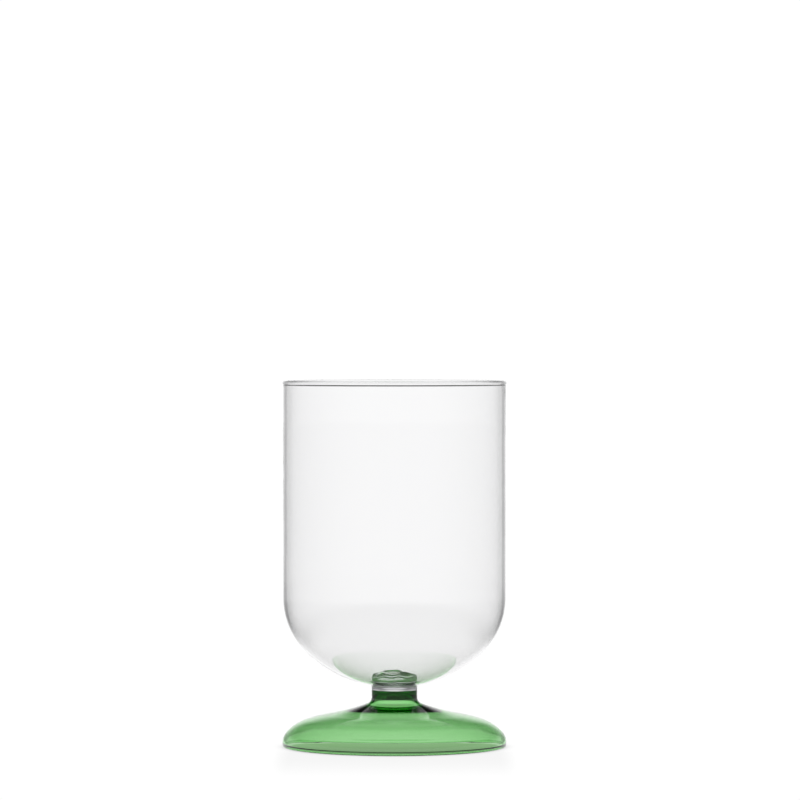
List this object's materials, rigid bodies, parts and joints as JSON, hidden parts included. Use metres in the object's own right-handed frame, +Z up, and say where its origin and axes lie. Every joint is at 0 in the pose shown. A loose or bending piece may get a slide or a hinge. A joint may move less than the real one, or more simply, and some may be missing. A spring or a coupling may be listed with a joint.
{
  "type": "wine glass",
  "caption": "Wine glass with a clear straight-sided bowl, round at the bottom, on a short green neck and a hollow flared green foot.",
  "frame": {"origin": "centre of the circle on which the foot's lip stands on the table", "axes": "+Z up along the axis of the glass; X and Y are any two level directions, because the glass is round"},
  "size_m": [0.0806, 0.0806, 0.1315],
  "materials": {
    "clear_glass": "fire-polished clear borosilicate glass",
    "green_glass": "fire-polished transparent green borosilicate glass"
  },
  "bodies": {
    "root": {"bowl": "clear_glass", "button": "clear_glass", "stem": "green_glass", "foot": "green_glass"}
  },
  "joints": []
}
